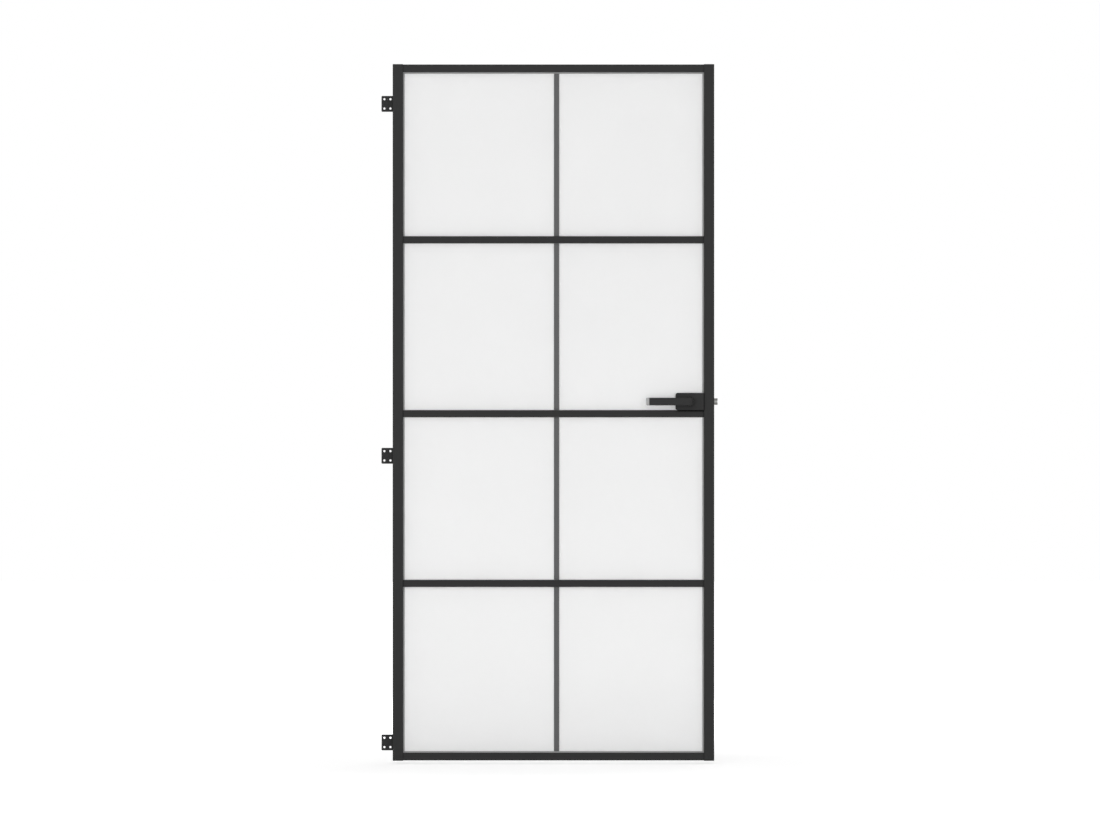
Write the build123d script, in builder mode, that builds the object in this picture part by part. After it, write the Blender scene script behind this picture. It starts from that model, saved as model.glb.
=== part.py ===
from build123d import *

import math
import os

# Slim hinged door leaf: black aluminium profiles round four rows of frosted glass, hung on three
# face-fixed hinges at its left edge, with a lever lock box at its right edge.
# Millimetres. X runs to the right, Y away from the viewer, Z up. The bottom of the leaf is at Z = 0,
# the glass lies in the plane Y = 0, and X = 0 is the middle between hinge plates and latch tip.

# Leaf
leaf_width = 930.0
leaf_height = 2015.0

# Extruded profiles
wall = 1.8
profile_edge = 1.0
stile_face = 29.8
stile_depth = 34.0
rail_face = 22.3
rail_depth = 30.0
rail_inset = 1.0
cross_face = 20.0
cross_depth = 30.0
upper_cross_height = 1507.0
middle_cross_height = 1004.0
lower_cross_height = 513.0

# Glazing
glass_thickness = 5.0
gasket_wall = 1.5
gasket_lip = 4.4
cross_gasket_lip = 0.8
groove_depth = 12.0
cross_groove_depth = 6.5

# Upright bars on both faces of the glass
bar_width = 15.0
bar_thickness = 4.0
bar_edge = 0.8
bar_offset = 9.0

# Screws that hold the rails to the stiles
frame_screw_radius = 2.0
frame_screw_head_radius = 4.0
frame_screw_head_sides = 6
frame_screw_head_height = 2.6
frame_screw_bite = 18.0
access_hole_radius = 4.8
screw_clearance = 0.1
screw_head_rim = 0.4

# Number of flat sides that stand for the curve of screws, pins, bores and bearings
hidden_sides = 8
access_sides = 12
screw_sides = 16
bearing_sides = 24

# Stile end caps
cap_thickness = 2.0
cap_spigot_length = 10.0
cap_fit = 0.2
cap_edge = 0.8
cap_head_clearance = 1.0

# Hinges
top_hinge_from_top = 114.0
middle_hinge_height = 882.0
bottom_hinge_height = 52.0
hinge_plate_height = 46.0
hinge_plate_thickness = 3.0
hinge_overhang = 33.0
hinge_plate_corner = 3.0
hinge_hole_radius = 3.1
hinge_hole_spacing_x = 17.5
hinge_hole_spacing_z = 27.0
hinge_hole_edge = 8.4
barrel_radius = 6.0
barrel_inset = 7.0
barrel_gap = 0.5
knuckle_relief = 0.5
pin_radius = 3.0
pin_end_wall = 2.0
pin_clearance = 0.05
washer_thickness = 0.9
washer_play = 0.1
door_plate_width = 23.0
door_screw_from_axis = 15.0
door_screw_spacing = 28.0
door_screw_radius = 2.0
door_screw_length = 12.0

# Lock box covers
box_width = 82.0
box_height = 50.0
box_depth = 44.0
cover_wall = 2.2
cover_corner = 6.0
cover_edge = 2.0
glass_overlap = 4.5
pad_thickness = 1.0
pad_width = 4.0
lock_clearance = 0.5
post_radius = 2.6
post_clearance = 0.3
cover_screw_radius = 1.4
cover_screw_head_radius = 2.8
cover_screw_bite = 12.0

# Lock case and what moves in it
case_depth = 24.0
case_wall = 2.5
case_boss_wall = 1.8
case_boss_sink = 2.0
nose_wall = 1.6
nose_clearance = 0.2
hub_radius = 9.0
hub_clearance = 0.5
hub_journal_radius = 7.0
running_clearance = 0.05
spindle_side = 8.0
spindle_clearance = 0.05
spindle_length = 94.0
arm_reach = 14.4
arm_width = 4.8
arm_thickness = 5.0
arm_gap = 0.3

# Latch bolt
latch_height = 19.0
latch_width = 12.0
latch_reach = 10.0
latch_clearance = 0.15
latch_bevel_start = 0.6
latch_tip_width = 3.0
latch_plate = 3.0
latch_plate_gap = 0.4
latch_strip_width = 3.0
latch_strip_height = 4.5
latch_strip_lift = 1.5
latch_bar_width = 3.5
insert_height = 6.0
insert_length = 20.0
insert_set_back = 0.6
spring_radius = 3.8
spring_wire = 1.0
spring_turns = 4.5
spring_sides = 10
spring_stop_width = 2.0
spring_stop_gap = 1.2
spring_stop_margin = 1.5

# Lever handles
lever_reach = 126.0
lever_height = 22.0
lever_thickness = 11.0
lever_projection = 38.0
lever_edge = 1.6
lever_gap = 0.4
neck_width = 16.0
neck_inner_corner = 7.0
neck_outer_corner = 9.0
lever_journal_radius = 10.0
socket_margin = 1.0
bush_wall = 2.0
bush_length = 8.0
bush_boss_wall = 1.6
tip_length = 8.6
tip_edge = 1.0
tip_spigot_length = 6.0
tip_spigot_inset = 3.0
grub_radius = 2.5
grub_length = 6.6
grub_share = 0.4

# Cuts run past the faces that they open
overrun = 1.0

# Places worked out from the sizes above
total_width = hinge_overhang + leaf_width + latch_reach
leaf_left = hinge_overhang - total_width / 2
leaf_right = leaf_left + leaf_width
opening_left = leaf_left + stile_face
opening_right = leaf_right - stile_face
groove_width = glass_thickness + 2 * gasket_wall
web_outer = stile_face - groove_depth - wall
rail_length = opening_right - opening_left

top_rail_low = leaf_height - rail_inset - rail_face
bottom_rail_top = rail_inset + rail_face
cross_heights = (upper_cross_height, middle_cross_height, lower_cross_height)

port_radius = frame_screw_radius + screw_clearance
port_half = port_radius + wall
rail_port_inset = (rail_face - groove_depth) / 2
frame_ports = [
    (0, leaf_height - rail_inset - rail_port_inset),
    (0, upper_cross_height),
    (0, middle_cross_height),
    (0, lower_cross_height),
    (0, rail_inset + rail_port_inset),
]

stile_back = stile_depth / 2
hinge_axis_x = leaf_left + barrel_inset
hinge_axis_y = stile_back + barrel_gap + barrel_radius
hinge_seat_y = hinge_axis_y - barrel_radius
pin_bore_radius = pin_radius + pin_clearance
washer_gap = washer_thickness + washer_play
knuckle_length = (hinge_plate_height - washer_gap) / 2
pin_bore_depth = knuckle_length - pin_end_wall
door_screw_head_radius = door_screw_radius + hinge_plate_thickness - screw_head_rim
door_screw_steps = (-door_screw_spacing / 2, door_screw_spacing / 2)
hinges = {
    "top": leaf_height - top_hinge_from_top,
    "middle": middle_hinge_height,
    "bottom": bottom_hinge_height,
}

pivot_x = opening_right - box_width / 2
pivot_z = middle_cross_height + cross_face / 2 + box_height / 2
edge_from_pivot = leaf_right - pivot_x
cover_face = box_depth / 2
cover_open = glass_thickness / 2 + pad_thickness
case_half_height = box_height / 2 - glass_overlap - lock_clearance
case_half_depth = case_depth / 2
case_right = box_width / 2 - cover_wall - lock_clearance
cavity_half_height = case_half_height - case_wall
cavity_half_depth = case_half_depth - case_wall
cavity_right = case_right - case_wall
left_post_x = glass_overlap + lock_clearance + post_radius - box_width / 2
left_post_z = case_half_height - post_radius
notch_corner = post_radius + lock_clearance
case_left = left_post_x + post_radius + lock_clearance
cavity_left = case_left + case_wall
post_boss_radius = post_radius + post_clearance + case_boss_wall
right_post_x = cavity_right + case_boss_sink - post_boss_radius
right_post_z = post_boss_radius - case_boss_sink - cavity_half_height
post_places = [(left_post_x, left_post_z), (left_post_x, -left_post_z), (right_post_x, right_post_z)]
nose_half_width = latch_width / 2 + latch_clearance + nose_wall
nose_half_height = latch_height / 2 + latch_clearance + nose_wall
spindle_hole = spindle_side + 2 * spindle_clearance
bush_radius = lever_journal_radius + running_clearance + bush_wall
bush_bore = bush_radius + running_clearance

latch_plate_right = cavity_right - latch_plate_gap
latch_plate_left = latch_plate_right - latch_plate
latch_strip_low = hub_radius + latch_strip_lift
latch_strip_high = latch_strip_low + latch_strip_height
latch_bar_right = -arm_width / 2 - arm_gap
latch_bar_left = latch_bar_right - latch_bar_width
latch_tip = edge_from_pivot + latch_reach
spring_stop_left = hub_radius + spring_stop_gap
spring_stop_right = spring_stop_left + spring_stop_width

lever_base = cover_face + lever_gap
lever_front = cover_face + lever_projection
lever_back = lever_front - lever_thickness
grip_end = tip_length - lever_reach
journal_end = cover_face - bush_length


def front_plane(x, y, z):
    """Plane that faces the viewer, with X to the right and Z up on it."""
    return Plane(origin=(x, y, z), x_dir=(1, 0, 0), z_dir=(0, -1, 0))


def lock_plane(y):
    """Front-facing plane through the lever's axis, at depth y."""
    return front_plane(pivot_x, y, pivot_z)


def span_rectangle(x_span, y_span, mode=Mode.ADD):
    """Rectangle on the open sketch between two pairs of limits."""
    with Locations((sum(x_span) / 2, sum(y_span) / 2)):
        Rectangle(abs(x_span[1] - x_span[0]), abs(y_span[1] - y_span[0]), mode=mode)


def span_box(x_span, y_span, z_span, mode=Mode.ADD):
    """Box on the open part between three pairs of limits."""
    with Locations((sum(x_span) / 2, sum(y_span) / 2, sum(z_span) / 2)):
        Box(
            abs(x_span[1] - x_span[0]),
            abs(y_span[1] - y_span[0]),
            abs(z_span[1] - z_span[0]),
            mode=mode,
        )


def rods(plane, places, radius, length, sides):
    """Rods of one length, one from each place on a plane, their sides inside the radius."""
    with BuildSketch(plane) as ends:
        with Locations(*places):
            RegularPolygon(radius, sides)
    extrude(ends.sketch, amount=length)


def bores(plane, places, radius, length, sides):
    """Bores of one length, one from each place on a plane, their sides outside the radius."""
    with BuildSketch(plane) as mouths:
        with Locations(*places):
            RegularPolygon(radius, sides, major_radius=False)
    extrude(mouths.sketch, amount=length, mode=Mode.SUBTRACT)


def barrel(low, length):
    """Round hinge knuckle on the hinge's axis."""
    with BuildSketch(Plane.XY.offset(low)) as end:
        with Locations((hinge_axis_x, hinge_axis_y)):
            Circle(barrel_radius)
    extrude(end.sketch, amount=length)


def screw_head(plane, head_radius, shank_radius):
    """Countersunk head with its top on a plane: a short rim, then sides at 45 degrees."""
    cone_depth = head_radius - shank_radius
    with BuildPart() as head:
        with BuildSketch(plane):
            RegularPolygon(head_radius, screw_sides)
        extrude(amount=screw_head_rim + cone_depth)
        chamfer(head.faces().sort_by(Axis.Y)[0].edges(), cone_depth)
    return head.part


def countersunk_screw(plane, head_radius, shank_radius, length):
    """Screw with a countersunk head, its shank behind it."""
    add(screw_head(plane, head_radius, shank_radius))
    rods(plane, [(0, 0)], shank_radius - screw_clearance, length, hidden_sides)


def countersink(plane, head_radius, shank_radius):
    """Seat for such a screw, with clearance all round."""
    seat = screw_head(plane, head_radius + screw_clearance, shank_radius + screw_clearance)
    add(seat, mode=Mode.SUBTRACT)


def latch_plan(rear):
    """Corners of the latch in plan, from a rear end to its tip, with the bevel that meets the strike."""
    half = latch_width / 2
    return [
        (rear, half),
        (rear, -half),
        (edge_from_pivot + latch_bevel_start, -half),
        (latch_tip, half - latch_tip_width),
        (latch_tip, half),
    ]


os.makedirs("parts", exist_ok=True)

# Stiles: a closed chamber at the outer edge and two hollow lips that form the glazing groove
for name, outer_edge, inward in (("left_stile", leaf_left, 1), ("right_stile", leaf_right, -1)):
    with BuildPart() as stile:
        with BuildSketch(Plane.XY.offset(cap_thickness)) as section:
            span_rectangle((outer_edge, outer_edge + inward * stile_face), (-stile_back, stile_back))
            chamfer(section.vertices(), profile_edge)
            span_rectangle(
                (outer_edge + inward * wall, outer_edge + inward * web_outer),
                (wall - stile_back, stile_back - wall),
                Mode.SUBTRACT,
            )
            span_rectangle(
                (outer_edge + inward * (stile_face - groove_depth), outer_edge + inward * stile_face),
                (-groove_width / 2, groove_width / 2),
                Mode.SUBTRACT,
            )
            for side in (-1, 1):
                span_rectangle(
                    (
                        outer_edge + inward * (stile_face - groove_depth),
                        outer_edge + inward * (stile_face - wall),
                    ),
                    (side * (groove_width / 2 + wall), side * (stile_back - wall)),
                    Mode.SUBTRACT,
                )
        extrude(amount=leaf_height - 2 * cap_thickness)
        bores(
            Plane.YZ.offset(outer_edge - inward * overrun),
            frame_ports,
            access_hole_radius,
            inward * (wall + 2 * overrun),
            access_sides,
        )
        bores(
            Plane.YZ.offset(outer_edge + inward * (web_outer - overrun)),
            frame_ports,
            port_radius,
            inward * (wall + 2 * overrun),
            hidden_sides,
        )
        if name == "left_stile":
            for height in hinges.values():
                bores(
                    front_plane(hinge_axis_x + door_screw_from_axis, stile_back + overrun, height),
                    [(0, step) for step in door_screw_steps],
                    door_screw_radius + screw_clearance,
                    wall + 2 * overrun,
                    hidden_sides,
                )
        else:
            span_box(
                (opening_right - overrun, leaf_right + overrun),
                (-nose_half_width - nose_clearance, nose_half_width + nose_clearance),
                (pivot_z - nose_half_height - nose_clearance, pivot_z + nose_half_height + nose_clearance),
                Mode.SUBTRACT,
            )
    stile.part.label = name
    export_step(stile.part, f"parts/{name}.step")

# Top and bottom rails: two chambers with a screw port between them, lips towards the glass
for name, outer_edge, inward in (
    ("top_rail", leaf_height - rail_inset, -1),
    ("bottom_rail", rail_inset, 1),
):
    with BuildPart() as rail:
        with BuildSketch(Plane.YZ.offset(opening_left)) as section:
            span_rectangle((-rail_depth / 2, rail_depth / 2), (outer_edge, outer_edge + inward * rail_face))
            chamfer(section.vertices(), profile_edge)
            span_rectangle(
                (-groove_width / 2, groove_width / 2),
                (outer_edge + inward * (rail_face - groove_depth), outer_edge + inward * rail_face),
                Mode.SUBTRACT,
            )
            with Locations((0, outer_edge + inward * rail_port_inset)):
                RegularPolygon(port_radius, hidden_sides, major_radius=False, mode=Mode.SUBTRACT)
            for side in (-1, 1):
                span_rectangle(
                    (side * port_half, side * (rail_depth / 2 - wall)),
                    (outer_edge + inward * wall, outer_edge + inward * (rail_face - groove_depth - wall)),
                    Mode.SUBTRACT,
                )
                span_rectangle(
                    (side * (groove_width / 2 + wall), side * (rail_depth / 2 - wall)),
                    (
                        outer_edge + inward * (rail_face - groove_depth),
                        outer_edge + inward * (rail_face - wall),
                    ),
                    Mode.SUBTRACT,
                )
        extrude(amount=rail_length)
    rail.part.label = name
    export_step(rail.part, f"parts/{name}.step")

# Cross rails: a web with a screw port between an upper and a lower groove, a chamber on each side
for number, height in enumerate(cross_heights, 1):
    with BuildPart() as cross_rail:
        with BuildSketch(Plane.YZ.offset(opening_left)) as section:
            span_rectangle(
                (-cross_depth / 2, cross_depth / 2), (height - cross_face / 2, height + cross_face / 2)
            )
            chamfer(section.vertices(), profile_edge)
            for edge in (-1, 1):
                span_rectangle(
                    (-groove_width / 2, groove_width / 2),
                    (
                        height + edge * (cross_face / 2 - cross_groove_depth),
                        height + edge * cross_face / 2,
                    ),
                    Mode.SUBTRACT,
                )
            for side in (-1, 1):
                span_rectangle(
                    (side * (groove_width / 2 + wall), side * (cross_depth / 2 - wall)),
                    (height + wall - cross_face / 2, height - wall + cross_face / 2),
                    Mode.SUBTRACT,
                )
            with Locations((0, height)):
                RegularPolygon(port_radius, hidden_sides, major_radius=False, mode=Mode.SUBTRACT)
        extrude(amount=rail_length)
    cross_rail.part.label = f"cross_rail_{number}"
    export_step(cross_rail.part, f"parts/cross_rail_{number}.step")

# Frame screws: their heads bear on the stile's inner web, their shanks run into the rails' ports
with BuildPart() as frame_screws:
    for outer_edge, inward in ((leaf_left, 1), (leaf_right, -1)):
        rods(
            Plane.YZ.offset(outer_edge + inward * web_outer),
            frame_ports,
            frame_screw_head_radius,
            -inward * frame_screw_head_height,
            frame_screw_head_sides,
        )
        rods(
            Plane.YZ.offset(outer_edge + inward * web_outer),
            frame_ports,
            frame_screw_radius,
            inward * (stile_face - web_outer + frame_screw_bite),
            hidden_sides,
        )
frame_screws.part.label = "frame_screws"
export_step(frame_screws.part, "parts/frame_screws.step")

# Stile end caps: a plate over the profile and a spigot in its chamber, clear of the screw heads
spigot_reach = web_outer - frame_screw_head_height - cap_head_clearance
for name, outer_edge, inward, end_z, upward in (
    ("top_left_cap", leaf_left, 1, leaf_height, 1),
    ("top_right_cap", leaf_right, -1, leaf_height, 1),
    ("bottom_left_cap", leaf_left, 1, 0, -1),
    ("bottom_right_cap", leaf_right, -1, 0, -1),
):
    with BuildPart() as cap:
        with BuildSketch(Plane.XY.offset(end_z)) as plate:
            span_rectangle((outer_edge, outer_edge + inward * stile_face), (-stile_back, stile_back))
            chamfer(plate.vertices(), profile_edge)
        extrude(amount=-upward * cap_thickness)
        outer_face = cap.faces().sort_by(Axis.Z)[-1 if upward > 0 else 0]
        chamfer(outer_face.edges(), cap_edge)
        span_box(
            (outer_edge + inward * (wall + cap_fit), outer_edge + inward * spigot_reach),
            (wall + cap_fit - stile_back, stile_back - wall - cap_fit),
            (end_z - upward * cap_thickness, end_z - upward * (cap_thickness + cap_spigot_length)),
        )
    cap.part.label = name
    export_step(cap.part, f"parts/{name}.step")

# Panes, their gaskets and the upright bars, row by row from the top
outer_seat = (groove_depth, gasket_lip)
cross_seat = (cross_groove_depth, cross_gasket_lip)
row_limits = [
    (upper_cross_height + cross_face / 2, top_rail_low, cross_seat, outer_seat),
    (middle_cross_height + cross_face / 2, upper_cross_height - cross_face / 2, cross_seat, cross_seat),
    (lower_cross_height + cross_face / 2, middle_cross_height - cross_face / 2, cross_seat, cross_seat),
    (bottom_rail_top, lower_cross_height - cross_face / 2, outer_seat, cross_seat),
]
lock_row = 2
seat_x_span = (opening_left - groove_depth, opening_right + groove_depth)
pane_x_span = (seat_x_span[0] + gasket_wall, seat_x_span[1] - gasket_wall)
bar_x = (leaf_left + leaf_right) / 2 + bar_offset
for row, (low, high, (depth_below, lip_below), (depth_above, lip_above)) in enumerate(row_limits, 1):
    seat_z_span = (low - depth_below, high + depth_above)
    clear_z_span = (low + lip_below, high - lip_above)
    pane_z_span = (seat_z_span[0] + gasket_wall, seat_z_span[1] - gasket_wall)

    with BuildPart() as glass:
        with BuildSketch(Plane.XZ) as outline:
            span_rectangle(pane_x_span, pane_z_span)
            if row == lock_row:
                notch_left = pivot_x - box_width / 2 + glass_overlap
                notch_top = pivot_z + box_height / 2 - glass_overlap
                with BuildSketch(mode=Mode.SUBTRACT) as notch:
                    span_rectangle(
                        (notch_left, pane_x_span[1] + overrun), (pane_z_span[0] - overrun, notch_top)
                    )
                    fillet(notch.vertices().group_by(Axis.X)[0].sort_by(Axis.Y)[-1], notch_corner)
        extrude(amount=glass_thickness / 2, both=True)
    glass.part.label = f"glass_row_{row}"
    export_step(glass.part, f"parts/glass_row_{row}.step")

    with BuildPart() as gasket:
        with BuildSketch(Plane.XZ):
            span_rectangle(seat_x_span, seat_z_span)
            span_rectangle(
                (opening_left + gasket_lip, opening_right - gasket_lip),
                clear_z_span,
                Mode.SUBTRACT,
            )
        extrude(amount=groove_width / 2, both=True)
        span_box(
            pane_x_span, (-glass_thickness / 2, glass_thickness / 2), pane_z_span, Mode.SUBTRACT
        )
        if row == lock_row:
            span_box(
                (pivot_x - box_width / 2 - lock_clearance, seat_x_span[1] + overrun),
                (-groove_width, groove_width),
                (seat_z_span[0] - overrun, pivot_z + box_height / 2 + lock_clearance),
                Mode.SUBTRACT,
            )
    gasket.part.label = f"gasket_row_{row}"
    export_step(gasket.part, f"parts/gasket_row_{row}.step")

    for side_name, side in (("front", -1), ("rear", 1)):
        with BuildPart() as bar:
            with BuildSketch(Plane.XY.offset(clear_z_span[0])) as section:
                span_rectangle(
                    (bar_x - bar_width / 2, bar_x + bar_width / 2),
                    (side * glass_thickness / 2, side * (glass_thickness / 2 + bar_thickness)),
                )
                outer_corners = section.vertices().group_by(Axis.Y)[-1 if side > 0 else 0]
                chamfer(outer_corners, bar_edge)
            extrude(amount=clear_z_span[1] - clear_z_span[0])
        bar.part.label = f"{side_name}_bar_{row}"
        export_step(bar.part, f"parts/{side_name}_bar_{row}.step")

# Lift-off hinges: the wall plate's lower knuckle holds the pin, the door plate's upper one turns on it
plate_left = leaf_left - hinge_overhang
plate_half = hinge_plate_height / 2
hinge_hole_x = plate_left + hinge_hole_edge + hinge_hole_spacing_x / 2
hinge_axis_place = (hinge_axis_x, hinge_axis_y)
for name, height in hinges.items():
    lower_top = height - washer_gap / 2
    upper_low = height + washer_gap / 2

    with BuildPart() as wall_plate:
        with BuildSketch(front_plane(0, hinge_seat_y + hinge_plate_thickness, height)) as outline:
            span_rectangle((plate_left, hinge_axis_x), (-plate_half, plate_half))
            fillet(outline.vertices().group_by(Axis.X)[0], hinge_plate_corner)
            span_rectangle(
                (hinge_axis_x - barrel_radius - knuckle_relief, hinge_axis_x + overrun),
                (-washer_gap / 2, plate_half + overrun),
                Mode.SUBTRACT,
            )
            with Locations((hinge_hole_x, 0)):
                with GridLocations(hinge_hole_spacing_x, hinge_hole_spacing_z, 2, 2):
                    Circle(hinge_hole_radius, mode=Mode.SUBTRACT)
        extrude(amount=hinge_plate_thickness)
        barrel(height - plate_half, knuckle_length)
        bores(
            Plane.XY.offset(lower_top - pin_bore_depth),
            [hinge_axis_place],
            pin_bore_radius,
            pin_bore_depth + overrun,
            hidden_sides,
        )
    wall_plate.part.label = f"{name}_wall_plate"
    export_step(wall_plate.part, f"parts/{name}_wall_plate.step")

    with BuildPart() as door_plate:
        with BuildSketch(front_plane(0, stile_back + hinge_plate_thickness, height)) as outline:
            span_rectangle(
                (hinge_axis_x, hinge_axis_x + door_plate_width), (-plate_half, plate_half)
            )
            fillet(outline.vertices().group_by(Axis.X)[-1], hinge_plate_corner)
            span_rectangle(
                (hinge_axis_x - overrun, hinge_axis_x + barrel_radius + knuckle_relief),
                (-plate_half - overrun, washer_gap / 2),
                Mode.SUBTRACT,
            )
        extrude(amount=hinge_plate_thickness)
        barrel(upper_low, knuckle_length)
        bores(
            Plane.XY.offset(upper_low - overrun),
            [hinge_axis_place],
            pin_bore_radius,
            pin_bore_depth + overrun,
            hidden_sides,
        )
        for step in door_screw_steps:
            countersink(
                front_plane(
                    hinge_axis_x + door_screw_from_axis, stile_back + hinge_plate_thickness, height + step
                ),
                door_screw_head_radius,
                door_screw_radius,
            )
    door_plate.part.label = f"{name}_door_plate"
    export_step(door_plate.part, f"parts/{name}_door_plate.step")

    with BuildPart() as pin:
        rods(
            Plane.XY.offset(lower_top - pin_bore_depth),
            [hinge_axis_place],
            pin_radius,
            2 * pin_bore_depth + washer_gap - washer_play,
            hidden_sides,
        )
    pin.part.label = f"{name}_hinge_pin"
    export_step(pin.part, f"parts/{name}_hinge_pin.step")

# Nylon washers that carry the upper knuckles
with BuildPart() as hinge_washers:
    for height in hinges.values():
        washer_plane = Plane.XY.offset(height - washer_gap / 2)
        rods(washer_plane, [hinge_axis_place], barrel_radius, washer_thickness, bearing_sides)
        bores(washer_plane, [hinge_axis_place], pin_bore_radius, washer_thickness, hidden_sides)
hinge_washers.part.label = "hinge_washers"
export_step(hinge_washers.part, "parts/hinge_washers.step")

# Countersunk screws that hold the door plates to the stile
with BuildPart() as hinge_screws:
    for height in hinges.values():
        for step in door_screw_steps:
            countersunk_screw(
                front_plane(
                    hinge_axis_x + door_screw_from_axis, stile_back + hinge_plate_thickness, height + step
                ),
                door_screw_head_radius,
                door_screw_radius,
                door_screw_length,
            )
hinge_screws.part.label = "hinge_screws"
export_step(hinge_screws.part, "parts/hinge_screws.step")

# Lock case: a tray that opens to the rear, with a nose that lines the way through the stile
with BuildPart() as lock_case:
    with BuildSketch(lock_plane(cavity_half_depth)):
        span_rectangle((case_left, case_right), (-case_half_height, case_half_height))
    extrude(amount=cavity_half_depth + case_half_depth)
    with BuildSketch(lock_plane(cavity_half_depth)):
        span_rectangle((cavity_left, cavity_right), (-cavity_half_height, cavity_half_height))
    extrude(amount=2 * cavity_half_depth, mode=Mode.SUBTRACT)
    with BuildSketch(lock_plane(cavity_half_depth)):
        span_rectangle(
            (spring_stop_left, spring_stop_right),
            (-spring_radius - spring_stop_margin, spring_radius + spring_stop_margin),
        )
        with Locations((right_post_x, right_post_z)):
            RegularPolygon(post_boss_radius, hidden_sides)
    extrude(amount=2 * cavity_half_depth)
    span_box(
        (pivot_x + case_right, leaf_right),
        (-nose_half_width, nose_half_width),
        (pivot_z - nose_half_height, pivot_z + nose_half_height),
    )
    span_box(
        (pivot_x + cavity_right - overrun, leaf_right + overrun),
        (nose_wall - nose_half_width, nose_half_width - nose_wall),
        (pivot_z + nose_wall - nose_half_height, pivot_z + nose_half_height - nose_wall),
        Mode.SUBTRACT,
    )
    bores(
        lock_plane(case_half_depth),
        [(0, 0)],
        hub_journal_radius + running_clearance,
        case_depth + overrun,
        bearing_sides,
    )
    bores(
        lock_plane(case_half_depth),
        [(right_post_x, right_post_z)],
        post_radius + post_clearance,
        case_depth + overrun,
        hidden_sides,
    )
lock_case.part.label = "lock_case"
export_step(lock_case.part, "parts/lock_case.step")

# Lid of the lock case, the follower's rear bearing
with BuildPart() as lock_case_lid:
    with BuildSketch(lock_plane(case_half_depth)):
        span_rectangle((case_left, case_right), (-case_half_height, case_half_height))
    extrude(amount=case_wall)
    bores(
        lock_plane(case_half_depth + overrun),
        [(0, 0)],
        hub_journal_radius + running_clearance,
        case_wall + 2 * overrun,
        bearing_sides,
    )
    bores(
        lock_plane(case_half_depth + overrun),
        [(right_post_x, right_post_z)],
        post_radius + post_clearance,
        case_wall + 2 * overrun,
        hidden_sides,
    )
lock_case_lid.part.label = "lock_case_lid"
export_step(lock_case_lid.part, "parts/lock_case_lid.step")

# Covers: shells that clamp the edge of the notched pane and carry the lever bushes
for name, side in (("front_cover", -1), ("rear_cover", 1)):
    outward = -side
    with BuildPart() as cover:
        with BuildSketch(lock_plane(side * cover_open)) as outline:
            Rectangle(box_width, box_height)
            fillet(outline.vertices().group_by(Axis.X)[0], cover_corner)
        extrude(amount=outward * (cover_face - cover_open))
        outer_face = cover.faces().sort_by(Axis.Y)[-1 if side > 0 else 0]
        chamfer(outer_face.edges(), cover_edge)
        with BuildSketch(lock_plane(side * cover_open)) as hollow:
            Rectangle(box_width - 2 * cover_wall, box_height - 2 * cover_wall)
            fillet(hollow.vertices().group_by(Axis.X)[0], cover_corner - cover_wall)
        extrude(amount=outward * (cover_face - cover_open - cover_wall), mode=Mode.SUBTRACT)
        rods(lock_plane(0), post_places, post_radius, outward * (cover_face - cover_wall), hidden_sides)
        with BuildSketch(lock_plane(side * case_half_depth)):
            Rectangle(2 * (bush_bore + bush_boss_wall), 2 * (bush_bore + bush_boss_wall))
        extrude(amount=outward * (cover_face - cover_wall - case_half_depth))
        bores(
            lock_plane(side * case_half_depth),
            [(0, 0)],
            bush_bore,
            outward * (cover_face + overrun),
            bearing_sides,
        )
        span_box(
            (pivot_x + case_right, opening_right + overrun),
            (-nose_half_width - nose_clearance, nose_half_width + nose_clearance),
            (pivot_z - nose_half_height - nose_clearance, pivot_z + nose_half_height + nose_clearance),
            Mode.SUBTRACT,
        )
        if side < 0:
            bores(
                lock_plane(0),
                post_places,
                cover_screw_radius + screw_clearance,
                cover_screw_bite + overrun,
                hidden_sides,
            )
        else:
            bores(
                lock_plane(cover_face),
                post_places,
                cover_screw_radius + screw_clearance,
                cover_face + overrun,
                hidden_sides,
            )
            for x, z in post_places:
                countersink(
                    front_plane(pivot_x + x, cover_face, pivot_z + z),
                    cover_screw_head_radius,
                    cover_screw_radius,
                )
    cover.part.label = name
    export_step(cover.part, f"parts/{name}.step")

# Cover screws, put in from the rear
with BuildPart() as cover_screws:
    for x, z in post_places:
        countersunk_screw(
            front_plane(pivot_x + x, cover_face, pivot_z + z),
            cover_screw_head_radius,
            cover_screw_radius,
            cover_face + cover_screw_bite,
        )
cover_screws.part.label = "cover_screws"
export_step(cover_screws.part, "parts/cover_screws.step")

# Rubber pads between the covers and the glass, along the left and upper edges of the box
with BuildPart() as lock_pads:
    for side in (-1, 1):
        with BuildSketch(lock_plane(side * glass_thickness / 2)) as pad:
            Rectangle(box_width, box_height)
            fillet(pad.vertices().group_by(Axis.X)[0], cover_corner)
            span_rectangle(
                (pad_width - box_width / 2, box_width / 2 + overrun),
                (-box_height / 2 - overrun, box_height / 2 - pad_width),
                Mode.SUBTRACT,
            )
        extrude(amount=-side * pad_thickness)
lock_pads.part.label = "lock_pads"
export_step(lock_pads.part, "parts/lock_pads.step")

# Follower: hub on two journals, with the arm that draws the latch back
with BuildPart() as follower:
    hub_half = cavity_half_depth - hub_clearance
    rods(lock_plane(case_half_depth), [(0, 0)], hub_journal_radius, case_depth, bearing_sides)
    rods(lock_plane(hub_half), [(0, 0)], hub_radius, 2 * hub_half, bearing_sides)
    with BuildSketch(lock_plane(arm_thickness / 2)):
        with Locations((0, arm_reach / 2)):
            SlotCenterToCenter(arm_reach, arm_width, rotation=90)
    extrude(amount=arm_thickness)
    with BuildSketch(lock_plane(case_half_depth)):
        Rectangle(spindle_hole, spindle_hole)
    extrude(amount=case_depth, mode=Mode.SUBTRACT)
follower.part.label = "follower"
export_step(follower.part, "parts/follower.step")

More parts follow.
